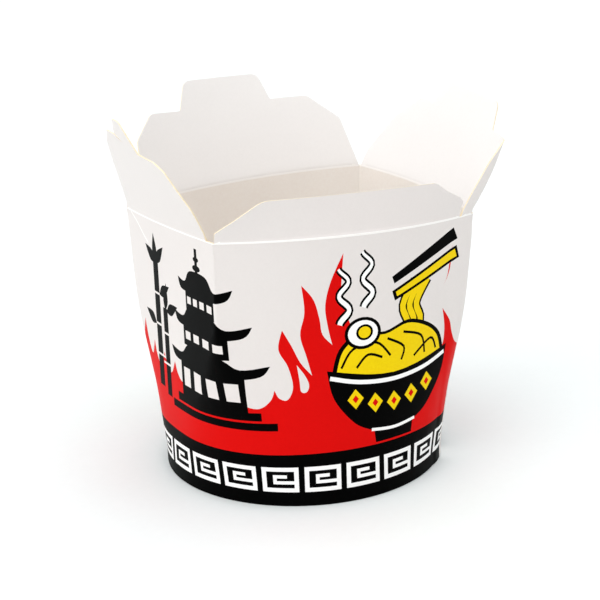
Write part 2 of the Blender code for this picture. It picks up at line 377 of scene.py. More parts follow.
def smooth(points, closed=True):
    """Curve through points; a third value marks a sharp tip."""
    count = len(points)
    result = []
    for i in range(count if closed else count - 1):
        here, there = points[i], points[(i + 1) % count]
        before = points[i - 1] if closed or i > 0 else here
        after = points[(i + 2) % count] if closed or i + 2 < count else there
        p0 = np.array((here if len(here) > 2 else before)[:2])
        p1, p2 = np.array(here[:2]), np.array(there[:2])
        p3 = np.array((there if len(there) > 2 else after)[:2])
        for step in range(CURVE_STEPS):
            t = step / CURVE_STEPS
            bend = (p2 - p0) * t + (2 * p0 - 5 * p1 + 4 * p2 - p3) * t ** 2
            bend = bend + (3 * p1 - p0 - 3 * p2 + p3) * t ** 3
            result.append(tuple(p1 + bend / 2))
    if not closed:
        result.append(tuple(points[-1][:2]))
    return result


MANY_POINTS = 24
FEW_POINTS = 16


def ellipse(turn, height, half_width, half_height, steps):
    """Outline of an ellipse."""
    angles = [2 * pi * k / steps for k in range(steps)]
    return [(turn + half_width * cos(a), height + half_height * sin(a)) for a in angles]


def ribbon(points, width, end_width=None):
    """Outline of a brushed line of that width along the points."""
    line = np.array(points)
    ends = np.linspace(width, width if end_width is None else end_width, len(line))
    run = np.gradient(line, axis=0)
    run = run / np.linalg.norm(run, axis=1)[:, None]
    square = np.stack([-run[:, 1], run[:, 0]], axis=1) * ends[:, None] / 2
    return [tuple(p) for p in np.vstack([line + square, (line - square)[::-1]])]


def box_outline(left, low, right, high):
    """Outline of an upright rectangle."""
    return [(left, low), (right, low), (right, high), (left, high)]


# Top of the black band, and the turn at which the half of the print starts that is laid
# down twice.
BAND_TOP = 18.9
HALF_TURN_START = -216.0

# Longest edge of a printed field, short enough to follow the wall's curve.
PRINT_STEP = 2.4

# A small buckle where the board was pressed beside the back left corner, drawn only as a painted
# highlight line with no relief of its own.
BUCKLE_HIGHLIGHT = [(-215.0, 91.4), (-208.3, 88.2), (-202.4, 84.9), (-198.0, 83.0)]
BUCKLE_HIGHLIGHT_WIDTH = 0.5

# Upper edge of the flames, a spark and a drop, as turn and height; 1 marks a sharp tip.
FLAMES = [
    (-216.0, 41.0), (-212.0, 44.0), (-208.0, 53.0, 1), (-205.5, 46.0), (-201.5, 41.5),
    (-198.0, 47.5, 1), (-195.5, 42.0), (-191.0, 39.5), (-186.5, 45.5, 1), (-184.0, 41.0),
    (-179.5, 39.5), (-175.5, 44.5, 1), (-173.0, 40.5), (-168.5, 38.5), (-164.0, 43.0, 1),
    (-161.5, 39.0), (-156.0, 37.0), (-151.5, 41.5, 1), (-149.0, 38.0), (-143.0, 36.2),
    (-138.5, 40.0, 1), (-136.0, 36.8), (-131.0, 35.8), (-127.0, 38.5), (-125.5, 42.0, 1),
    (-124.0, 39.2), (-121.0, 38.6), (-119.0, 43.0), (-120.5, 50.0), (-123.5, 56.0),
    (-122.0, 62.5, 1), (-119.0, 57.0), (-116.0, 51.0), (-112.0, 46.4, 1), (-113.8, 53.0),
    (-115.8, 60.5), (-114.0, 68.0), (-114.8, 77.0, 1), (-110.6, 72.0), (-108.6, 65.5),
    (-107.6, 60.0), (-104.0, 56.2, 1), (-105.6, 63.0), (-106.2, 70.0), (-103.6, 78.0),
    (-98.5, 86.5, 1), (-99.4, 79.0), (-99.8, 72.0), (-97.6, 65.0), (-94.5, 58.5),
    (-91.0, 52.0, 1), (-90.5, 57.0), (-88.0, 63.5, 1), (-86.0, 57.0), (-80.0, 50.0),
    (-72.0, 46.0), (-63.0, 44.0), (-55.0, 44.5), (-51.6, 48.0), (-51.2, 54.0),
    (-52.8, 61.0, 1), (-48.8, 56.0), (-47.0, 50.0), (-44.0, 46.0), (-36.0, 43.0),
]
SPARK = [(-52.6, 69.0, 1), (-50.6, 73.0), (-49.0, 83.0, 1), (-49.8, 74.0)]
DROP = [
    (-117.4, 50.4, 1), (-114.6, 46.6), (-113.2, 43.2), (-114.2, 40.8), (-116.2, 41.2),
    (-116.6, 44.8),
]


def flame_shapes():
    """Flames that rise from the band over half a turn, a spark and one white drop."""
    edge = smooth(FLAMES, closed=False)
    field = edge + [(HALF_TURN_START + 180.0, BAND_TOP), (HALF_TURN_START, BAND_TOP)]
    return [("red", field), ("red", smooth(SPARK)), ("bare", smooth(DROP))]


# Each tier of the tower from the lowest up: half-width and height of its eaves, then the
# half-width of its wall and the height that the wall stands on.
PAGODA_TURN = -152.0
TIERS = [(25.5, 47.0, 17.0, 34.0), (20.5, 60.5, 13.0, 53.0), (15.5, 73.0, 9.5, 66.0)]
ROOF_RISE = 6.6

# Windows of a tier and the tower's door, as shares of the wall's half-width.
WINDOWS = (-0.72, -0.24, 0.24, 0.72)
WINDOW_SHARE = 0.15
DOOR_SHARE = 0.1
SILL_SHARE = 0.3
LINTEL_DROP = 2.4

# The tower's two steps and its spire, as half-width, low and high, then the spire's knobs,
# as height, half-width and half-height.
STEPS_AND_SPIRE = [(27.0, 27.6, 30.4), (21.5, 31.2, 34.2), (0.9, 76.0, 88.0)]
KNOBS = [(81.4, 2.7, 1.1), (84.4, 1.9, 0.9)]

# Bamboo stems as turn, low, high and width, and leaves as turn, height and direction.
BAMBOO = [(-191.0, 32.0, 78.0, 5.6), (-182.8, 30.0, 62.0, 4.8)]
LEAVES = [
    (-191.0, 77.0, 150), (-191.0, 77.0, 95), (-191.0, 77.0, 40), (-188.4, 66.0, 25),
    (-193.6, 54.5, 160), (-182.8, 61.0, 80), (-181.4, 61.0, 20),
]
LEAF_LENGTH = 10.5
LEAF_WIDTH = 4.2
BAMBOO_JOINT = 11.2
BAMBOO_TIP = 2.0
BAMBOO_RING = 0.8


def roof_outline(half, low):
    """Curved roof with raised tips, half its width from the tower's middle."""
    right = [
        (half * 0.45, low - 0.9), (half * 0.86, low - 0.2), (half, low + 3.4, 1),
        (half * 0.62, low + 2.6), (half * 0.34, low + ROOF_RISE),
    ]
    left = [(-p[0], *p[1:]) for p in right[::-1]]
    return [(PAGODA_TURN + p[0], *p[1:]) for p in right + left]


def leaf_outline(turn, height, direction):
    """Pointed leaf that grows from a twig in a direction in degrees."""
    along = np.array([cos(radians(direction)), sin(radians(direction))])
    square = np.array([-along[1], along[0]])
    spots = [(0.0, 0.0), (0.4, 0.5), (1.0, 0.0), (0.4, -0.5)]
    points = []
    for reach, aside in spots:
        place = along * reach * LEAF_LENGTH + square * aside * LEAF_WIDTH
        tip = (1,) if aside == 0.0 else ()
        points.append((turn + place[0] / DEGREE_MM, height + place[1], *tip))
    return smooth(points)


def tower_shapes():
    """Three-tiered tower on two steps, with bamboo beside it."""
    x = PAGODA_TURN
    shapes = []
    for half, low, high in STEPS_AND_SPIRE:
        shapes.append(("black", box_outline(x - half, low, x + half, high)))
    shapes += [("black", ellipse(x, *knob, FEW_POINTS)) for knob in KNOBS]
    for half, eaves, wall, low in TIERS:
        shapes.append(("black", box_outline(x - wall, low, x + wall, eaves)))
        sill = low + (eaves - low) * SILL_SHARE
        gap = wall * WINDOW_SHARE
        for window in WINDOWS:
            middle = x + window * wall
            pane = box_outline(middle - gap, sill, middle + gap, eaves - LINTEL_DROP)
            shapes.append(("bare", pane))
        shapes.append(("black", smooth(roof_outline(half, eaves))))
    _, eaves, wall, low = TIERS[0]
    door = box_outline(x - wall * DOOR_SHARE, low, x + wall * DOOR_SHARE, eaves)
    shapes.append(("black", door))
    for turn, low, high, wide in BAMBOO:
        shapes.append(("black", box_outline(turn - wide / 2, low, turn + wide / 2, high)))
        for ring in np.arange(low + BAMBOO_JOINT, high - BAMBOO_TIP, BAMBOO_JOINT):
            gap = box_outline(turn - wide, ring, turn + wide, ring + BAMBOO_RING)
            shapes.append(("bare", gap))
    shapes += [("black", leaf_outline(*leaf)) for leaf in LEAVES]
    return shapes


# The bowl and what goes with it, drawn from the middle of its rim and then stretched.
BOWL_TURN = -78.0
BOWL_RIM = 46.0
BOWL_WIDE = 1.26
BOWL_HIGH = 1.1
BOWL = [
    (-22.5, 1.2, 1), (-20.5, -8.0), (-14.0, -16.5), (-7.5, -20.0, 1), (-7.0, -24.0, 1),
    (7.0, -24.0, 1), (7.5, -20.0, 1), (14.0, -16.5), (20.5, -8.0), (22.5, 1.2, 1),
    (0.0, -2.6),
]

# White lines below the bowl's rim and at its foot, each with its width.
BOWL_LINES = [
    ([(-21.6, -1.2), (-12.0, -3.6), (0.0, -4.6), (12.0, -3.6), (21.6, -1.2)], 1.5),
    ([(-8.4, -19.6), (0.0, -20.4), (8.4, -19.6)], 1.1),
]

# Curls of steam, and their outline's and their own width at the foot and at the tip.
STEAM_AT = [(-16.5, 15.0), (-8.5, 19.5)]
STEAM_RISE = 17.0
STEAM_SWAY = 1.6
STEAM_WAVE = 8.7
STEAM_POINTS = 25
STEAM_WIDTHS = [("black", 3.8, 2.6), ("white", 2.0, 1.0)]

# Strand of three noodles that the chopsticks lift, and the noodles' widths.
LIFTED = [(3.0, 6.0), (8.0, 12.0), (6.5, 18.0), (11.0, 25.0)]
LIFTED_AT = (-2.6, 0.0, 2.6)
LIFTED_WIDTHS = [("black", 4.2), ("yellow", 2.6)]

# Outline of the heap, the yellow heap's share of it, and the noodles drawn on it.
MOUND = [
    (-21.0, 0.0, 1), (-18.5, 7.5), (-12.0, 12.0), (-3.0, 11.0), (6.0, 13.2),
    (14.0, 10.5), (19.0, 6.0), (21.0, 0.0, 1), (0.0, -3.0),
]
HEAP_WIDE = 0.93
HEAP_HIGH = 0.9
HEAP_LIFT = 0.2
NOODLES = [
    [(-18.0, 1.5), (-14.0, 7.0), (-6.0, 8.0), (-1.0, 3.0)],
    [(-13.0, 1.0), (-9.0, 4.6), (-4.0, 3.0)],
    [(-2.0, 8.6), (4.0, 5.0), (3.0, 0.8)],
    [(4.0, 9.6), (11.0, 7.0), (12.5, 1.0)],
    [(8.0, 1.0), (15.0, 5.2), (17.5, 1.2)],
]
NOODLE_WIDTH = 0.9

# Chopsticks as ink, both ends and the width at each, with the edge of the lower one.
STICKS = [
    ("black", [(0.5, 21.5), (25.0, 31.0)], 3.6, 4.8),
    ("yellow", [(1.6, 21.9), (24.2, 30.7)], 1.7, 2.8),
    ("black", [(0.5, 26.4), (24.0, 37.0)], 2.6, 4.4),
]

# The egg from its outline to its yolk, as ink, middle, half-width, half-height and points.
EGG = [
    ("black", -10.5, 11.6, 6.2, 5.0, MANY_POINTS),
    ("white", -10.5, 11.6, 5.1, 4.0, MANY_POINTS),
    ("black", -10.0, 11.8, 2.9, 2.5, FEW_POINTS),
    ("yellow", -10.0, 11.8, 2.1, 1.8, FEW_POINTS),
]

# Diamonds in a row that sags along the bowl, each with a smaller one inside.
DIAMONDS = (-13.6, -6.9, 0.0, 6.9, 13.6)
DIAMOND_WIDE = 2.7
DIAMOND_HIGH = 3.2
DIAMOND_LOW = -11.8
DIAMOND_SAG = 0.016
DIAMOND_CORE = 0.4


def at_bowl(points):
    """Print points of a drawing that is laid out from the middle of the bowl's rim."""
    return [(BOWL_TURN + p[0] * BOWL_WIDE, BOWL_RIM + p[1] * BOWL_HIGH, *p[2:]) for p in points]


def steam_shapes():
    """Two wavy curls of steam, white with a black outline."""
    shapes = []
    for turn, height in STEAM_AT:
        curl = at_bowl([
            (turn - STEAM_SWAY * cos(2 * pi * rise / STEAM_WAVE), height + rise)
            for rise in np.linspace(0.0, STEAM_RISE, STEAM_POINTS)
        ])
        shapes += [(ink, ribbon(curl, *widths)) for ink, *widths in STEAM_WIDTHS]
    return shapes


def noodle_shapes():
    """Strand lifted by two chopsticks, and the heap of noodles with an egg on it."""
    shapes = []
    lifted = smooth(LIFTED, closed=False)
    for ink, width in LIFTED_WIDTHS:
        for offset in LIFTED_AT:
            strand = [(x + offset, y) for x, y in lifted]
            shapes.append((ink, ribbon(at_bowl(strand), width)))
    shapes += [(ink, ribbon(at_bowl(ends), *widths)) for ink, ends, *widths in STICKS]
    heap = [(p[0] * HEAP_WIDE, p[1] * HEAP_HIGH + HEAP_LIFT, *p[2:]) for p in MOUND]
    shapes += [("black", at_bowl(smooth(MOUND))), ("yellow", at_bowl(smooth(heap)))]
    for noodle in NOODLES:
        line = at_bowl(smooth(noodle, closed=False))
        shapes.append(("black", ribbon(line, NOODLE_WIDTH)))
    shapes += [(ink, at_bowl(ellipse(*oval))) for ink, *oval in EGG]
    return shapes


def bowl_shapes():
    """Black bowl with a white line below its rim and at its foot, and a row of diamonds."""
    shapes = [("black", at_bowl(smooth(BOWL)))]
    for line, width in BOWL_LINES:
        shapes.append(("white", ribbon(at_bowl(smooth(line, closed=False)), width)))
    for x in DIAMONDS:
        y = DIAMOND_LOW + DIAMOND_SAG * x * x
        diamond = [(x - DIAMOND_WIDE, y), (x, y - DIAMOND_HIGH)]
        diamond += [(x + DIAMOND_WIDE, y), (x, y + DIAMOND_HIGH)]
        core = [(x + (p[0] - x) * DIAMOND_CORE, y + (p[1] - y) * DIAMOND_CORE) for p in diamond]
        shapes += [("yellow", at_bowl(diamond)), ("red", at_bowl(core))]
    return shapes


# The squared spirals on the band: how many, their frame and stroke, and by how much of
# their spacing the first one stands past the seam.
KEY_COUNT = 22
KEY_WIDTH = 12.2
KEY_LOW = 5.2
KEY_HIGH = 14.3
KEY_STROKE = 1.5
KEY_PHASE = 0.54

# The hook inside each spiral, from the frame's lower left corner.
HOOK_LEFT = 3.7
HOOK_RIGHT = 8.3
HOOK_LOW = 2.9
HOOK_HIGH = 6.3
HOOK_STROKE = 1.2


def key_block(x, left, low, right, high):
    """Block of a spiral whose frame starts at turn x, in millimetres from its corner."""
    return box_outline(x + left / DEGREE_MM, KEY_LOW + low, x + right / DEGREE_MM, KEY_LOW + high)


def key_shapes():
    """Row of squared white spirals round the band."""
    tall = KEY_HIGH - KEY_LOW
    thick, thin = KEY_STROKE, HOOK_STROKE
    blocks = [
        ("white", 0.0, 0.0, KEY_WIDTH, tall),
        ("black", thick, thick, KEY_WIDTH - thick, tall - thick),
        ("white", HOOK_LEFT, HOOK_LOW, KEY_WIDTH - thick, HOOK_LOW + thin),
        ("white", HOOK_LEFT, HOOK_LOW, HOOK_LEFT + thin, HOOK_HIGH),
        ("white", HOOK_LEFT, HOOK_HIGH - thin, HOOK_RIGHT, HOOK_HIGH),
    ]
    shapes = []
    for k in range(KEY_COUNT):
        x = SEAM_TURN + (k + KEY_PHASE) * 360.0 / KEY_COUNT - KEY_WIDTH / 2 / DEGREE_MM
        shapes += [(ink, key_block(x, *block)) for ink, *block in blocks]
    return shapes


def print_shapes():
    """Every printed field in the order it is laid down, as ink and flat outline."""
    start, end = SEAM_TURN, SEAM_TURN + 360
    shapes = [
        # A painted highlight strip along the rim's crease.
        ("pressed", box_outline(start - 1, WALL_HEIGHT - CREASE_HIGHLIGHT_WIDTH, end + 1, WALL_HEIGHT + 1)),
        # A painted highlight line along the buckle.
        ("pressed", around(ribbon(BUCKLE_HIGHLIGHT, BUCKLE_HIGHLIGHT_WIDTH), 360.0)),
        ("black", box_outline(start - 1, -1.0, end + 1, BAND_TOP)),
    ]
    for turn in (180.0, 360.0):
        for group in (flame_shapes, tower_shapes, steam_shapes, noodle_shapes, bowl_shapes):
            shapes += [(ink, around(outline, turn)) for ink, outline in group()]
    shapes += key_shapes()
    for left, right in ((start - 1, start + SEAM_MARGIN), (end - SEAM_MARGIN, end + 1)):
        shapes.append(("bare", box_outline(left, -1.0, right, WALL_HEIGHT - CREASE_HIGHLIGHT_WIDTH)))
    return [(ink, divided(flat(outline), PRINT_STEP)) for ink, outline in shapes]


def inside(points, outline):
    """Which of the points lie within the outline."""
    starts, ends = outline, np.roll(outline, -1, axis=0)
    x, y = points[:, 0][:, None], points[:, 1][:, None]
    crosses = (starts[:, 1] > y) != (ends[:, 1] > y)
    rise = np.where(ends[:, 1] == starts[:, 1], 1.0, ends[:, 1] - starts[:, 1])
    where = starts[:, 0] + (y - starts[:, 1]) * (ends[:, 0] - starts[:, 0]) / rise
    return (crosses & (x < where)).sum(axis=1) % 2 == 1


# ---------------------------------------------------------------- pressed folds

def corner_fold(name):
    """Line of the pressed fold below the corner after a side, in flat millimetres."""
    middle = sum(corner_turns(name)) / 2
    out = np.array([cos(middle), sin(middle), 0.0])
    corner = RIM[name].point(RIM[name].half_length)
    line = []
    for height in np.linspace(WALL_HEIGHT, FOLD_LOW, FOLD_POINTS):
        share = (height - RING_HEIGHT) / (WALL_HEIGHT - RING_HEIGHT)
        point = corner * share + out * (BASE_RADIUS * (1 - share))
        turn = degrees(atan2(point[1], point[0]))
        line.append(((turn - SEAM_TURN) % 360 + SEAM_TURN, height))
    return flat(line)


FOLD_LINES = {name: corner_fold(name) for name in SIDES}


def score_relief(turn, height):
    """Height of the pressed folds' beads at a place on the wall."""
    x = ((turn - SEAM_TURN) % 360) * DEGREE_MM
    relief = 0.0
    if height > FOLD_LOW:
        for name, line in FOLD_LINES.items():
            at = np.interp(height, line[::-1, 1], line[::-1, 0])
            reach = abs(x - at) / SCORE_WIDTH
            if reach < 1:
                fade = (height - FOLD_LOW) / (WALL_HEIGHT - FOLD_LOW)
                relief += SCORE_HEIGHT * FOLD_STRENGTH[name] * fade * (1 - reach ** 2) ** 2
    below = (WALL_HEIGHT - height) / BEAD_WIDTH
    if below < 1:
        relief += BEAD_HEIGHT * (1 - below ** 2) ** 2
    return relief


# ---------------------------------------------------------------- meshes

def finished_object(name, vertices, faces, materials, slots):
    """Smooth-shaded object in the row frame, its faces painted by slot number."""
    mesh = bpy.data.meshes.new(name)
    placed = (np.array(vertices) + BOX_AXIS) * MM
    mesh.from_pydata([tuple(v) for v in placed], [], faces)
    for material in materials:
        mesh.materials.append(material)
    mesh.polygons.foreach_set("material_index", slots)
    mesh.update()
    mesh.shade_smooth()
    thing = bpy.data.objects.new(name, mesh)
    bpy.context.scene.collection.objects.link(thing)
    return thing


# Slots of the printed face, where bare and pressed are the board without ink; pressed is painted
# brighter as a highlight along the rim's crease and the buckle.
INK_ORDER = ("bare", "red", "black", "yellow", "pressed", "white")
BLACK_SLOT = INK_ORDER.index("black")
CREASE_HIGHLIGHT_SLOT = INK_ORDER.index("pressed")
INSIDE_SLOT = len(INK_ORDER)
EDGE_SLOT = INSIDE_SLOT + 1

# How near the border of the printed face an edge of the print may run.
SIDE_CLEARANCE = 0.3
END_CLEARANCE = 0.2

# The sheet turns in below the base with its printed face out, then ends in a cut edge.
RING_SLOTS = (BLACK_SLOT, BLACK_SLOT, BLACK_SLOT, EDGE_SLOT)


def runs_inside(outline, wide):
    """Stretches of an outline that keep clear of the printed face's border."""
    clear = (outline[:, 0] > SIDE_CLEARANCE) & (outline[:, 0] < wide - SIDE_CLEARANCE)
    clear &= outline[:, 1] > RING_EDGE + END_CLEARANCE
    clear &= outline[:, 1] < WALL_HEIGHT - END_CLEARANCE
    if clear.all():
        return [outline]
    runs = []
    start = int(np.argmin(clear))
    run = []
    for k in range(len(outline) + 1):
        index = (start + k) % len(outline)
        if clear[index]:
            run.append(outline[index])
        else:
            if len(run) > 1:
                runs.append(np.array(run))
            run = []
    return runs


def wall_sheet(columns, side_rows):
    """Flat triangles of the printed face, cut along every edge of the print."""
    wide = 360.0 * DEGREE_MM
    points = []
    edges = []

    def add_loop(outline, closed=True):
        first = len(points)
        points.extend(tuple(p) for p in outline)
        count = len(outline)
        steps = count if closed else count - 1
        edges.extend((first + i, first + (i + 1) % count) for i in range(steps))

    border = [(x, RING_EDGE) for x in columns] + [(wide, y) for y in side_rows[1:-1]]
    border += [(x, WALL_HEIGHT) for x in columns[::-1]] + [(0.0, y) for y in side_rows[-2:0:-1]]
    add_loop(border)
    shapes = print_shapes()
    for _, outline in shapes:
        for run in runs_inside(outline, wide):
            add_loop(run, closed=len(run) == len(outline))
    margin = SEAM_MARGIN * DEGREE_MM
    add_loop([(0.0, BAND_TOP), (wide, BAND_TOP)], closed=False)
    for x in (margin, wide - margin):
        add_loop([(x, RING_EDGE), (x, WALL_HEIGHT)], closed=False)
    for line in FOLD_LINES.values():
        for shift in (-SCORE_WIDTH, -SCORE_WIDTH / 2, 0.0, SCORE_WIDTH / 2, SCORE_WIDTH):
            moved = line + np.array([shift, 0.0])
            if shift != 0.0:
                moved[0, 1] -= SCORE_DROP
            add_loop(moved, closed=False)
    for x in columns[1:-1]:
        for y in side_rows[1:-1]:
            points.append((x, y))
    flat_points, _, triangles, *_ = delaunay_2d_cdt(
        [Vector(p) for p in points], edges, [], 0, WALL_WELD
    )
    flat_points = np.array([tuple(p) for p in flat_points])
    triangles = [tuple(t) for t in triangles]
    centres = flat_points[np.array(triangles)].mean(axis=1)
    inks = np.zeros(len(triangles), int)
    for ink, outline in shapes:
        inks[inside(centres, outline)] = INK_ORDER.index(ink)
    return flat_points, triangles, inks


def ring_section(board):
    """Radius and height of the turned-in base ring, from the outer face inwards."""
    outer = BASE_RADIUS + board
    turn_outer = BASE_RADIUS - RING_GAP - board
    turn_inner = turn_outer - board
    return [
        (outer - RING_EDGE, 0.0),
        (turn_inner + RING_EDGE, 0.0),
        (turn_inner, RING_EDGE),
        (turn_inner, TURN_HEIGHT),
        (turn_outer, TURN_HEIGHT),
        (turn_outer, board),
        (BASE_RADIUS, board),
    ]


def wall_columns():
    """Flat distances of the wall's columns, with one at each corner of the rim."""
    even = np.arange(0.0, 360.0 + WALL_COLUMN / 2, WALL_COLUMN) * DEGREE_MM
    fixed = [line[0, 0] for line in FOLD_LINES.values()]
    fixed += [SEAM_MARGIN * DEGREE_MM, (360.0 - SEAM_MARGIN) * DEGREE_MM]
    ends = [even[0], even[-1]]
    kept = [x for x in even[1:-1] if min(abs(x - f) for f in fixed) > WALL_CLEARANCE]
    return np.array(sorted(ends + kept + fixed))


def wall_rows():
    """Heights of the wall's rows, with one at the band's top and close ones at the crease."""
    count = int((WALL_HEIGHT - RING_EDGE) / WALL_ROW)
    rows = list(np.linspace(RING_EDGE, WALL_HEIGHT, count + 1))
    rows = [y for y in rows if abs(y - BAND_TOP) > WALL_CLEARANCE]
    rows += [WALL_HEIGHT - drop for drop in (*CREASE_ROWS, BEAD_WIDTH)]
    return sorted([*rows, BAND_TOP])


def printed_normals(wall, sheet, triangles):
    """The sheet's own outward direction at each corner of each printed triangle."""
    normals = {}
    for index, triangle in enumerate(triangles):
        middle = sheet[list(triangle)].mean(axis=0)
        for corner in triangle:
            near = sheet[corner] * (1 - PROBE_INSET) + middle * PROBE_INSET
            normals[(index, corner)] = wall.normal(turn_of(near[0]), near[1])
    return normals


def hidden_line(wall, board, turn, rows):
    """Points up the unprinted side of the sheet: the base ring, then the inner face."""
    away = wall.place(turn, RING_HEIGHT, outside=False)
    away = np.array([away[0], away[1], 0.0]) / hypot(away[0], away[1])
    line = [away * r + np.array([0.0, 0.0, z]) for r, z in ring_section(board)]
    return line + [wall.place(turn, y, outside=False) for y in rows]


def make_wall(board, materials):
    """Closed sheet: printed outside, plain inside, cut edges at the rim, seam and foot."""
    wall = Sidewall(board)
    columns = wall_columns()
    side_rows = wall_rows()
    sheet, triangles, inks = wall_sheet(columns, side_rows)
    vertices = [wall.place(turn_of(x), y) for x, y in sheet]
    faces = list(triangles)
    slots = list(inks)

    def add_face(corners, slot):
        faces.append(corners)
        slots.append(slot)

    def on_border(x, y):
        gap = np.abs(sheet - np.array([x, y])).sum(axis=1)
        return int(gap.argmin())

    foot = [on_border(x, RING_EDGE) for x in columns]
    top = [on_border(x, WALL_HEIGHT) for x in columns]
    first_side = [on_border(0.0, y) for y in side_rows]
    last_side = [on_border(360.0 * DEGREE_MM, y) for y in side_rows]
    for i in range(len(side_rows) - 1):
        add_face((first_side[i + 1], first_side[i], last_side[i], last_side[i + 1]), EDGE_SLOT)
    inner_rows = sorted({RING_HEIGHT, *[y for y in side_rows if y > RING_HEIGHT + 1]})
    profile = []
    for x in columns[:-1]:
        line = hidden_line(wall, board, turn_of(x), inner_rows)
        profile.append(range(len(vertices), len(vertices) + len(line)))
        vertices.extend(line)
    lines = len(profile)
    for i in range(lines):
        here, there = profile[i], profile[(i + 1) % lines]
        add_face((foot[i + 1], foot[i], here[0], there[0]), BLACK_SLOT)
        for k in range(len(here) - 1):
            slot = RING_SLOTS[k] if k < len(RING_SLOTS) else INSIDE_SLOT
            add_face((there[k], here[k], here[k + 1], there[k + 1]), slot)
        # The inner face's top strip is the painted highlight along the crease.
        slots[-1] = CREASE_HIGHLIGHT_SLOT
        add_face((there[-1], here[-1], top[i], top[i + 1]), EDGE_SLOT)
    add_face((foot[0], foot[-1], profile[0][0]), BLACK_SLOT)
    add_face((top[-1], top[0], profile[0][-1]), EDGE_SLOT)
    thing = finished_object("printed_sidewall", vertices, faces, materials, slots)
    shade_printed_face(thing, printed_normals(wall, sheet, triangles), len(triangles))
    return thing


def shade_printed_face(thing, normals, printed):
    """Gives the printed triangles the sheet's own curvature and leaves the rest as is."""
    mesh = thing.data
    mesh.set_sharp_from_angle(angle=WALL_SHARP)
    own = [tuple(n.vector) for n in mesh.corner_normals]
    for polygon in mesh.polygons[:printed]:
        for loop in polygon.loop_indices:
            vertex = mesh.loops[loop].vertex_index
            own[loop] = tuple(normals[(polygon.index, vertex)])
    mesh.normals_split_custom_set(own)


# ---------------------------------------------------------------- flaps

def resampled(at, lengths, points):
    """Points at distances along a measured line."""
    return np.array([np.interp(at, lengths, points[:, axis]) for axis in range(3)]).T


def smoothed(lengths, curve):
    """Measured curve averaged over a window that closes towards its ends."""
    result = []
    for here in lengths:
        window = min(WRAP_SMOOTHING, here, lengths[-1] - here)
        near = np.linspace(here - window, here + window, SMOOTHING_POINTS)
        result.append(resampled(near, lengths, curve).mean(axis=0))
    return np.array(result)


def measured_foot(crease):
    """Foot curve through a crease: lengths, even points and outward directions."""
    points = []
    for name, first, last in crease:
        points += [RIM[name].point(a) for a in np.linspace(first, last, FOOT_STEPS)]
    points = np.array(points)
    steps = np.linalg.norm(np.diff(points, axis=0), axis=1)
    lengths = np.concatenate([[0.0], np.cumsum(steps)])
    even = np.linspace(0.0, lengths[-1], 2 * FOOT_STEPS + 1)
    curve = resampled(even, lengths, points)
    if len(crease) > 1:
        curve = smoothed(even, curve)
    run = np.gradient(curve, axis=0)
    outward = np.stack([run[:, 1], -run[:, 0], np.zeros(len(run))], axis=1)
    return even, curve, outward / np.linalg.norm(outward, axis=1)[:, None]


class Flap:
    """A flap: a ruled sheet from its crease to a straighter, leaning top line."""

    def __init__(self, name, crease, length, lean, twist, top_bulge, outline):
        self.name = name
        self.side = RIM[name]
        self.length = length
        self.lean = lean
        self.twist = twist
        self.top_bulge = top_bulge
        self.outline = outline
        self.foot_lengths, self.foot, self.outward = measured_foot(crease)
        self.half = self.foot_lengths[-1] / 2
        self.bend = CORNER_WRAP - self.half if len(crease) > 1 else -2 * self.half
        middle = (self.foot[0] + self.foot[-1]) / 2
        self.centre = float(middle @ self.side.along)
        chord = np.linalg.norm(self.foot[-1] - self.foot[0])
        self.chord_share = chord / self.foot_lengths[-1]

    def middle_point(self, x, y):
        """Place on the sheet, x along the crease from its middle and y up the flap."""
        reach = [x + self.half]
        foot = resampled(reach, self.foot_lengths, self.foot)[0]
        short = self.bend - x
        beyond = (short + hypot(short, BEND_WIDTH)) / 2
        straight = x + beyond if short > -self.half else x
        share = straight / self.half
        lean = radians(self.lean + self.twist * share)
        offset = self.centre + straight * self.chord_share
        bulge = self.top_bulge * (1 - share ** 2)
        along, out = self.side.along, self.side.out
        top = along * offset + out * (self.side.reach + bulge + self.length * sin(lean))
        top = top + np.array([0.0, 0.0, self.side.height(offset) + self.length * cos(lean)])
        top = top - (out * sin(BEND_TURN) + along * cos(BEND_TURN)) * (straight - x)
        swell = BEND_SWELL * np.exp(-(short / BEND_REACH) ** 2)
        swell *= sin(pi * min(1.0, max(0.0, y / BEND_HEIGHT)))
        corner = (out - along) / hypot(1.0, 1.0)
        return foot + (top - foot) * (y / self.length) + corner * swell

    def normal(self, x, y):
        """Outward direction square to the sheet."""
        step = PROBE_REACH
        across = self.middle_point(x + step, y) - self.middle_point(x - step, y)
        up = self.middle_point(x, y + step) - self.middle_point(x, y - step)
        square = np.cross(across, up)
        return square / np.linalg.norm(square)

    def faces_at(self, x, y, board):
        """Outer and inner place of the sheet, turned into the wall's at the crease."""
        reach = [x + self.half]
        outward = resampled(reach, self.foot_lengths, self.outward)[0]
        square = self.normal(x, max(y, PROBE_LOWEST))
        rise = min(1.0, y / BEAD_WIDTH)
        eased = rise * rise * (3 - 2 * rise)
        centre = self.middle_point(x, y) + outward * (board / 2 * (1 - eased))
        thick = outward * (1 - eased) + square * eased
        thick = thick / np.linalg.norm(thick) * board / 2
        bead = square * BEAD_HEIGHT * (1 - rise ** 2) ** 2
        return centre + thick + bead, centre - thick


def rounded(corners):
    """Outline with its corners replaced by arcs; a corner is x, y and radius."""
    outline = []
    count = len(corners)
    for i in range(count):
        corner = np.array(corners[i][:2])
        before = np.array(corners[i - 1][:2]) - corner
        after = np.array(corners[(i + 1) % count][:2]) - corner
        before = before / hypot(*before)
        after = after / hypot(*after)
        half = 0.5 * np.arccos(np.clip(before @ after, -1.0, 1.0))
        radius = corners[i][2]
        if radius == 0:
            outline.append(corner)
            continue
        start = corner + before * radius / tan(half)
        end = corner + after * radius / tan(half)
        towards = before + after
        centre = corner + towards / hypot(*towards) * radius / sin(half)
        for share in np.linspace(0.0, 1.0, FILLET_STEPS + 1):
            spoke = (start - centre) * (1 - share) + (end - centre) * share
            outline.append(centre + spoke / hypot(*spoke) * radius)
    return np.array(outline)


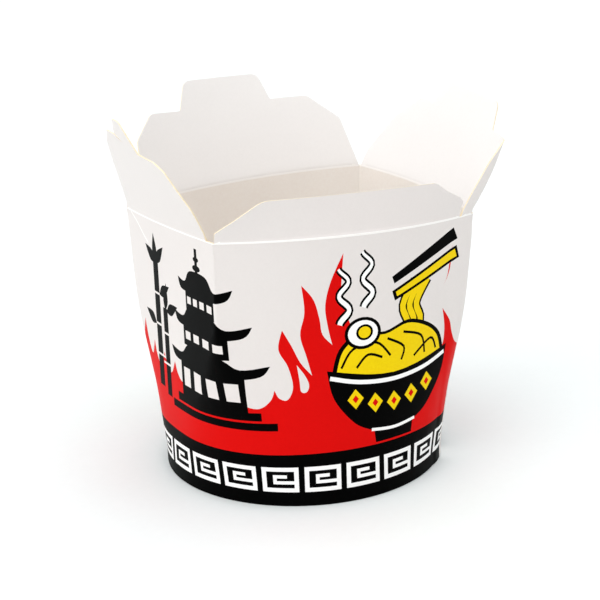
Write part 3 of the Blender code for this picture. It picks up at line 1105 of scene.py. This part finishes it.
def edge_distance(outline, points):
    """Distance from each point to the outline."""
    runs = np.roll(outline, -1, axis=0) - outline
    reach = points[:, None, :] - outline[None, :, :]
    share = np.clip((reach * runs).sum(axis=2) / (runs ** 2).sum(axis=1), 0.0, 1.0)
    return np.linalg.norm(reach - runs * share[:, :, None], axis=2).min(axis=1)


def flap_layout(flap):
    """Flat triangles of a flap, with close rows at its crease."""
    outline = divided(rounded(flap.outline), FLAP_GRID)
    low, high = outline.min(axis=0), outline.max(axis=0)
    columns = np.linspace(low[0], high[0], int((high[0] - low[0]) / FLAP_GRID) + 2)[1:-1]
    rows = np.linspace(BEAD_WIDTH, high[1], int((high[1] - low[1]) / FLAP_GRID) + 2)[:-1]
    rows = np.concatenate([CREASE_ROWS, rows])
    bend = flap.bend + np.array(BEND_COLUMNS)
    columns = [x for x in columns if abs(x - flap.bend) > BEND_CLEARANCE]
    grid = np.array([(x, y) for x in (*columns, *bend) for y in rows])
    grid = grid[inside(grid, outline)]
    clearance = np.where(grid[:, 1] <= BEAD_WIDTH, CREASE_CLEARANCE, EDGE_CLEARANCE)
    grid = grid[edge_distance(outline, grid) > clearance]
    grid = grid[np.lexsort((grid[:, 0], grid[:, 1]))]
    seeds = [Vector(p) for p in outline] + [Vector(p) for p in grid]
    count = len(outline)
    border = [(i, (i + 1) % count) for i in range(count)]
    # Grid points on the upper edge of the painted crease highlight strip, joined so the strip ends
    # along a straight row.
    pressed = int((grid[:, 1] <= CREASE_HIGHLIGHT_WIDTH).sum())
    border += [(count + i, count + i + 1) for i in range(pressed - 1)]
    placed, _, triangles, *_ = delaunay_2d_cdt(seeds, border, [], 1, FLAP_WELD)
    return [tuple(p) for p in placed], [tuple(t) for t in triangles]


# The last flap slot holds the painted highlight along the crease.
OUTER_SLOT, INNER_SLOT, CUT_SLOT, FLAP_HIGHLIGHT_SLOT = range(4)


def make_flap(flap, board, materials):
    """Closed sheet of board with an outside, an inside and cut edges."""
    layout, triangles = flap_layout(flap)
    pairs = [flap.faces_at(x, y, board) for x, y in layout]
    count = len(layout)
    vertices = [pair[0] for pair in pairs] + [pair[1] for pair in pairs]
    faces = list(triangles)
    faces += [tuple(index + count for index in reversed(face)) for face in triangles]
    heights = np.array(layout)[np.array(triangles)].mean(axis=1)[:, 1]
    # On both faces, the strip next to the crease gets the painted highlight.
    pressed = heights < CREASE_HIGHLIGHT_WIDTH
    slots = []
    for face_slot in (OUTER_SLOT, INNER_SLOT):
        slots += list(np.where(pressed, FLAP_HIGHLIGHT_SLOT, face_slot))
    edges = {(face[i], face[(i + 1) % 3]) for face in triangles for i in range(3)}
    for start, end in sorted(edges):
        if (end, start) not in edges:
            faces.append((end, start, start + count, end + count))
            slots.append(CUT_SLOT)
    thing = finished_object(flap.name + "_flap_sheet", vertices, faces, materials, slots)
    thing.data.set_sharp_from_angle(angle=FLAP_SHARP)
    return thing


# Outlines from one end of the crease over the top to the other, as x, y and fillet radius.
FRONT_OUTLINE = [
    (-45.3, 0.0, 0.0), (-46.2, 3.0, 1.0), (-31.0, 13.9, 8.0), (34.2, 13.9, 4.0),
    (38.6, 10.6, 5.0), (49.2, 5.3, 1.0), (45.2, 0.0, 0.0),
]
RIGHT_OUTLINE = [
    (-42.4, 0.0, 0.0), (-42.4, 9.5, 12.0), (-41.0, 20.5, 12.0), (-36.2, 27.3, 1.5),
    (-24.4, 28.5, 1.0), (-20.2, 38.4, 4.0), (13.2, 40.2, 4.0), (18.2, 31.0, 1.0),
    (26.0, 31.2, 3.0), (36.0, 21.5, 3.0), (42.0, 7.0, 3.0), (42.4, 0.0, 0.0),
]
BACK_OUTLINE = [
    (-48.6, 0.0, 0.0), (-44.6, 19.2, 3.0), (-33.6, 29.0, 3.0), (-19.0, 29.3, 1.0),
    (-15.6, 39.6, 3.5), (15.2, 40.7, 3.5), (18.8, 29.8, 1.0), (31.6, 30.9, 3.0),
    (39.6, 22.0, 4.0), (39.8, 14.0, 5.0), (48.6, 0.0, 0.0),
]
LEFT_OUTLINE = [
    (-38.0, 0.0, 0.0), (-33.0, 20.0, 6.0), (-29.2, 27.5, 3.0), (-20.8, 33.0, 1.0),
    (-9.8, 33.0, 0.0), (-2.2, 31.0, 0.0), (-9.0, 33.8, 0.0), (-2.2, 39.8, 1.5),
    (5.0, 39.8, 2.5), (10.6, 28.6, 1.0), (24.0, 27.9, 3.0), (30.0, 25.4, 3.0),
    (36.2, 11.0, 8.0), (34.9, 0.0, 0.0),
]


def flaps():
    """The four flaps, each with its crease, length, lean, twist and bulge at the top.

    The right flap's crease runs on round the front corner."""
    front, right, back, left = (RIM[name].half_length for name in SIDES)
    notch = front - CORNER_WRAP
    round_corner = [("front", notch, front), ("right", -right, right)]
    return [
        Flap("front", [("front", -front, notch)], 13.9, 20, 0, 3.0, FRONT_OUTLINE),
        Flap("right", round_corner, 40.2, 32, -2, 4.0, RIGHT_OUTLINE),
        Flap("back", [("back", -back, back)], 40.7, 20, 0, 9.1, BACK_OUTLINE),
        Flap("left", [("left", -left, left)], 39.8, 22, 5, 1.4, LEFT_OUTLINE),
    ]


# ---------------------------------------------------------------- materials

def board_white():
    """Clay-coated solid bleached board: even, faintly warm white with a low satin."""
    return sheet_material(
        "clay_coated_board", "#E4DDDA", "#E1DAD7", roughness=0.42, grain_mm=0.9, bump_mm=0.005
    )


def board_flap_inside():
    """Inner side of the flaps: the same board, white and even, a little more matte."""
    return sheet_material(
        "uncoated_board_back", "#F2EFED", "#EFECEA", roughness=0.5, grain_mm=1.0, bump_mm=0.006
    )


def board_inside():
    """Inner side of the board: a little creamier as painted warm light bounced round the inside,
    with a soft sheen.
    """
    return sheet_material(
        "inner_board_painted_warm_bounce", "#F5F0EA", "#F1EAE3", roughness=0.46, grain_mm=1.1, bump_mm=0.007
    )


def board_crease_highlight():
    """Painted highlight along a crease: the clay coat drawn brighter than the board round it,
    where the bead would catch the light.
    """
    return sheet_material(
        "painted_crease_highlight", "#FDFAF7", "#FAF7F4", roughness=0.36, grain_mm=0.9, bump_mm=0.003
    )


def board_edge():
    """Cut edge of the board: bare fibre, cream in places, rough and dull."""
    return sheet_material(
        "cut_board_fibre", "#F7EEDD", "#EBD6AC", roughness=0.85, grain_mm=0.4, bump_mm=0.03
    )


def flexo_ink(name, colour, shade, gleam):
    """Ink printed on the coating: an even film with the coating's own fine relief."""
    return sheet_material(
        "flexo_ink_" + name, colour, shade, roughness=0.45, grain_mm=0.8, bump_mm=0.005,
        gleam=gleam,
    )


def ink_red():
    """Red ink: dense and slightly uneven, with hardly any gleam."""
    return flexo_ink("red", "#DC0C0A", "#D60A08", gleam=0.03)


def ink_black():
    """Black ink: deep and even, with hardly any gleam."""
    return flexo_ink("black", "#020202", "#010101", gleam=0.02)


def ink_yellow():
    """Yellow ink: bright, because the white board shines through it."""
    return flexo_ink("yellow", "#F5D605", "#EFCB04", gleam=0.06)


def ink_white():
    """Opaque white ink: cleaner and brighter than the board below it."""
    return flexo_ink("white", "#FDFCFB", "#FAF9F8", gleam=0.2)


def floor_paper():
    """Matte paper laid out below the box: pale, smooth and without a sheen."""
    return sheet_material(
        "matte_paper_floor", "#F0F5F5", "#EEF3F3", roughness=0.9, grain_mm=3.0, bump_mm=0.01
    )


# ---------------------------------------------------------------- the add-on

class BoxSettings(bpy.types.PropertyGroup):
    """Sizes that a user would change."""

    board: bpy.props.FloatProperty(
        name="Board thickness", description="Thickness of the paperboard",
        default=0.5 * MM, min=0.3 * MM, max=0.8 * MM, precision=5,
        subtype="DISTANCE", unit="LENGTH",
    )
    blend_height: bpy.props.FloatProperty(
        name="Bend height", description="Height above a crease over which a flap bends",
        default=11.0 * MM, min=4.0 * MM, max=20.0 * MM, subtype="DISTANCE", unit="LENGTH",
    )


class StageSettings(bpy.types.PropertyGroup):
    """Lights and surround of the small studio."""

    key_strength: bpy.props.FloatProperty(
        name="Key light", description="Strength of the wide soft light from the left",
        default=1.04, min=0.0,
    )
    fill_strength: bpy.props.FloatProperty(
        name="Fill light", description="Strength of the weak soft light from above the front",
        default=0.25, min=0.0,
    )
    light_spread: bpy.props.FloatProperty(
        name="Softness", description="Angle over which each of the two lights spreads",
        default=radians(50), min=0.0, max=pi, subtype="ANGLE", unit="ROTATION",
    )
    horizon: bpy.props.FloatProperty(
        name="Horizon", description="Brightness of the white surround at the floor's level",
        default=0.5, min=0.0,
    )
    ceiling: bpy.props.FloatProperty(
        name="Ceiling", description="Brightness of the white surround overhead",
        default=1.96, min=0.0,
    )


class BOX_OT_sidewall(bpy.types.Operator):
    """Build the printed sidewall"""

    bl_idname = "box.sidewall"
    bl_label = "Printed sidewall"

    def execute(self, context):
        board = context.scene.box_settings.board / MM
        materials = [
            board_white(), ink_red(), ink_black(), ink_yellow(), board_crease_highlight(),
            ink_white(), board_inside(), board_edge(),
        ]
        wall = make_wall(board, materials)
        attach(wall, "box")
        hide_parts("wall")
        return {"FINISHED"}


class BOX_OT_flaps(bpy.types.Operator):
    """Build the four flaps and bend each one at its crease"""

    bl_idname = "box.flaps"
    bl_label = "Flaps"

    def execute(self, context):
        settings = context.scene.box_settings
        materials = [board_white(), board_flap_inside(), board_edge(), board_crease_highlight()]
        for flap in flaps():
            sheet = make_flap(flap, settings.board / MM, materials)
            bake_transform(sheet)
            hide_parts("flap_" + flap.name)
        return {"FINISHED"}


class BOX_OT_base(bpy.types.Operator):
    """Give the base disc its board finish"""

    bl_idname = "box.base"
    bl_label = "Base disc"

    def execute(self, context):
        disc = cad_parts["base_disc"]
        disc.data.materials.clear()
        disc.data.materials.append(board_inside())
        return {"FINISHED"}


KEY_FROM = (-1.0, -0.2, 0.35)
FILL_FROM = (0.3, -0.65, 0.7)

# Sine of the elevation from which the surround grows brighter.
SKY_START = 0.5

CAMERA_TURN = -26.086
CAMERA_LIFT = 17.0456
CAMERA_ROLL = -2.1084
CAMERA_DISTANCE = 501.65
CAMERA_AIM = (0.6332, 6.7515, 50.0)
CAMERA_LENS = 83.842
CAMERA_SENSOR = 36.0
FLOOR_REACH = 6000.0


class BOX_OT_stage(bpy.types.Operator):
    """Build the floor, the lights and the camera"""

    bl_idname = "box.stage"
    bl_label = "Studio"

    def execute(self, context):
        settings = context.scene.stage_settings
        scene = context.scene
        scene.view_settings.view_transform = "Standard"
        self.add_floor(scene)
        self.add_world(scene, settings)
        spread = settings.light_spread
        self.add_light(scene, "key_light", KEY_FROM, settings.key_strength, spread)
        self.add_light(scene, "fill_light", FILL_FROM, settings.fill_strength, spread)
        self.add_camera(scene)
        return {"FINISHED"}

    def add_floor(self, scene):
        """Large pale floor below the box."""
        mesh = bpy.data.meshes.new("studio_floor")
        reach = FLOOR_REACH * MM
        corners = [(-reach, -reach, 0), (reach, -reach, 0), (reach, reach, 0), (-reach, reach, 0)]
        mesh.from_pydata(corners, [], [(0, 1, 2, 3)])
        mesh.materials.append(floor_paper())
        floor = bpy.data.objects.new("studio_floor", mesh)
        scene.collection.objects.link(floor)

    def add_world(self, scene, settings):
        """White surround that grows brighter overhead."""
        world = bpy.data.worlds.new("surround")
        world.use_nodes = True
        tree = world.node_tree
        towards = add_node(tree, "ShaderNodeTexCoord").outputs["Generated"]
        lift = add_node(tree, "ShaderNodeSeparateXYZ", links={"Vector": towards})
        glow = add_node(
            tree, "ShaderNodeMapRange",
            inputs={
                "From Min": SKY_START, "To Min": settings.horizon, "To Max": settings.ceiling,
            },
            links={"Value": lift.outputs["Z"]},
        )
        background = tree.nodes["Background"]
        background.inputs["Color"].default_value = (1.0, 1.0, 1.0, 1.0)
        tree.links.new(glow.outputs["Result"], background.inputs["Strength"])
        scene.world = world

    def add_light(self, scene, name, towards, strength, spread):
        """Wide soft light from a direction."""
        light = bpy.data.lights.new(name, "SUN")
        light.energy = strength
        light.angle = spread
        lamp = bpy.data.objects.new(name, light)
        lamp.rotation_euler = Vector(towards).to_track_quat("Z", "Y").to_euler()
        scene.collection.objects.link(lamp)

    def add_camera(self, scene):
        """Camera that looks slightly down at the front left corner."""
        turn, lift, roll = (radians(a) for a in (CAMERA_TURN, CAMERA_LIFT, CAMERA_ROLL))
        back = Vector((sin(turn) * cos(lift), -cos(turn) * cos(lift), sin(lift)))
        level = (-back).cross(Vector((0, 0, 1))).normalized()
        upright = level.cross(-back)
        side, rise, height = CAMERA_AIM
        aim = Vector(BOX_AXIS) + Vector((0, 0, height)) + level * side + upright * rise
        right = level * cos(roll) + upright * sin(roll)
        up = upright * cos(roll) - level * sin(roll)
        data = bpy.data.cameras.new("camera")
        data.lens = CAMERA_LENS
        data.sensor_width = CAMERA_SENSOR
        camera = bpy.data.objects.new("camera", data)
        matrix = Matrix((right, up, back)).transposed().to_4x4()
        matrix.translation = (aim + back * CAMERA_DISTANCE) * MM
        camera.matrix_world = matrix
        scene.collection.objects.link(camera)
        scene.camera = camera


class BOX_PT_panel(bpy.types.Panel):
    """Sizes, lights and one button for each group of pieces"""

    bl_idname = "BOX_PT_panel"
    bl_label = "Takeaway Box"
    bl_space_type = "VIEW_3D"
    bl_region_type = "UI"
    bl_category = "Takeaway Box"

    def draw(self, context):
        layout = self.layout
        for settings in (context.scene.box_settings, context.scene.stage_settings):
            for name in settings.bl_rna.properties.keys():
                if name not in ("rna_type", "name"):
                    layout.prop(settings, name)
        for operator in (BOX_OT_sidewall, BOX_OT_flaps, BOX_OT_base, BOX_OT_stage):
            layout.operator(operator.bl_idname)


CLASSES = (
    BoxSettings, StageSettings, BOX_OT_sidewall, BOX_OT_flaps, BOX_OT_base, BOX_OT_stage,
    BOX_PT_panel,
)


def register():
    for item in CLASSES:
        bpy.utils.register_class(item)
    bpy.types.Scene.box_settings = bpy.props.PointerProperty(type=BoxSettings)
    bpy.types.Scene.stage_settings = bpy.props.PointerProperty(type=StageSettings)


def unregister():
    del bpy.types.Scene.stage_settings
    del bpy.types.Scene.box_settings
    for item in reversed(CLASSES):
        bpy.utils.unregister_class(item)


def main():
    register()
    bpy.ops.box.sidewall()
    bpy.ops.box.flaps()
    bpy.ops.box.base()
    bpy.ops.box.stage()


if __name__ == "__main__":
    main()
